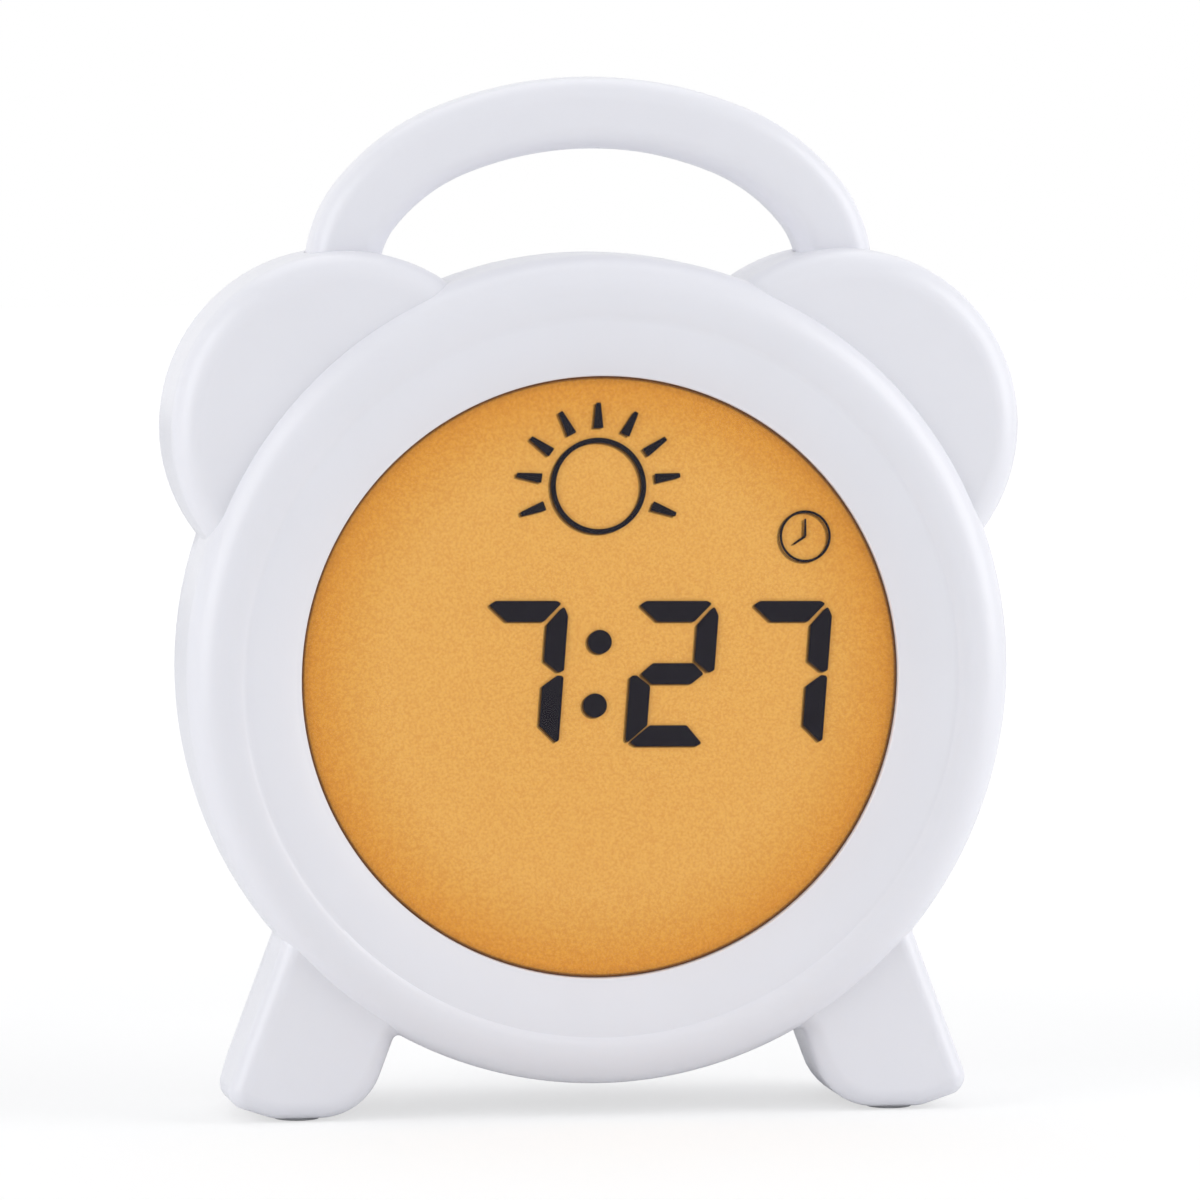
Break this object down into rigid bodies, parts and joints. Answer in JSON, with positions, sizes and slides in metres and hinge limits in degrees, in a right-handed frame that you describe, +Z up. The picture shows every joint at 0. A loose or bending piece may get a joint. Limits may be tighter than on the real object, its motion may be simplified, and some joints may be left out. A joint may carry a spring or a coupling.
{
  "type": "kids alarm clock with night light",
  "caption": "Round bedside alarm clock with a glowing display, two ears, two feet, a carry handle, rear buttons, a speaker grille and a hinged battery door.",
  "frame": {"origin": "on the table, midway between the front and back and between the sides", "axes": "+Z up, +Y from the face to the back, +X to the right as seen from the front"},
  "size_m": [0.132, 0.046, 0.16],
  "materials": {
    "white_plastic": "satin moulded",
    "amber_lens": "tinted, smooth",
    "lcd_glass": "polished",
    "diffuser_film": "translucent",
    "reflector_white": "matte",
    "adhesive": "matte foam tape",
    "board_green": "solder mask",
    "component_black": "moulded",
    "led_yellow": "clear resin",
    "cable_film": "polyimide",
    "cable_white": "film",
    "switch_plastic": "moulded",
    "steel": "zinc plated",
    "nickel": "nickel plated",
    "magnet": "ferrite",
    "cone_paper": "pressed paper",
    "gasket_foam": "foam",
    "wire_red": "PVC",
    "cell_sleeve": "gloss sleeve",
    "pad_rubber": "matte"
  },
  "bodies": {
    "clock": {"front_housing": "white_plastic", "rear_housing": "white_plastic", "carry_handle": "white_plastic", "display_lens": "amber_lens", "lens_adhesive": "adhesive", "lcd_panel": "lcd_glass", "diffuser_sheet": "diffuser_film", "reflector_tray": "reflector_white", "tray_screws": "steel", "main_board": "board_green", "backlight_leds": "led_yellow", "board_components": "component_black", "board_screws": "steel", "lcd_ribbon": "cable_film", "control_board": "board_green", "control_connector": "component_black", "control_board_screws": "steel", "link_cable": "cable_white", "tact_switches": "component_black", "slide_switch": "steel", "usb_socket": "nickel", "usb_tongue": "component_black", "speaker_frame": "steel", "speaker_cone": "cone_paper", "speaker_magnet": "magnet", "speaker_gasket": "gasket_foam", "speaker_screws": "steel", "speaker_leads": "wire_red", "battery_1": "cell_sleeve", "battery_2": "cell_sleeve", "battery_3": "cell_sleeve", "battery_springs": "nickel", "contact_plates": "nickel", "battery_leads": "wire_red", "foot_pads": "pad_rubber", "housing_screws": "steel"},
    "time_key": {"time_button": "white_plastic", "time_plunger": "switch_plastic"},
    "alarm_key": {"alarm_button": "white_plastic", "alarm_plunger": "switch_plastic"},
    "sleep_key": {"sleep_button": "white_plastic", "sleep_plunger": "switch_plastic"},
    "light_key": {"light_button": "white_plastic", "light_plunger": "switch_plastic"},
    "minus_key": {"minus_button": "white_plastic", "minus_plunger": "switch_plastic"},
    "plus_key": {"plus_button": "white_plastic", "plus_plunger": "switch_plastic"},
    "mode_switch": {"mode_slider": "white_plastic", "slide_actuator": "component_black"},
    "door": {"battery_door": "white_plastic"}
  },
  "joints": [
    {"name": "time_press", "type": "slide", "parent": "clock", "child": "time_key", "axis": [0, -1, 0], "range_m": [0, 0.0008], "stiffness_N_per_m": 1500, "springref_m": -0.0002},
    {"name": "alarm_press", "type": "slide", "parent": "clock", "child": "alarm_key", "axis": [0, -1, 0], "range_m": [0, 0.0008], "stiffness_N_per_m": 1500, "springref_m": -0.0002},
    {"name": "sleep_press", "type": "slide", "parent": "clock", "child": "sleep_key", "axis": [0, -1, 0], "range_m": [0, 0.0008], "stiffness_N_per_m": 1500, "springref_m": -0.0002},
    {"name": "light_press", "type": "slide", "parent": "clock", "child": "light_key", "axis": [0, -1, 0], "range_m": [0, 0.0008], "stiffness_N_per_m": 1500, "springref_m": -0.0002},
    {"name": "minus_press", "type": "slide", "parent": "clock", "child": "minus_key", "axis": [0, -1, 0], "range_m": [0, 0.0008], "stiffness_N_per_m": 1500, "springref_m": -0.0002},
    {"name": "plus_press", "type": "slide", "parent": "clock", "child": "plus_key", "axis": [0, -1, 0], "range_m": [0, 0.0008], "stiffness_N_per_m": 1500, "springref_m": -0.0002},
    {"name": "mode_slide", "type": "slide", "parent": "clock", "child": "mode_switch", "axis": [0, 0, 1], "range_m": [0, 0.003]},
    {"name": "door_hinge", "type": "hinge", "parent": "clock", "child": "door", "pos_m": [-0.0274, 0.022, 0.0441], "axis": [0, 0, 1], "range_deg": [0, 35]}
  ]
}
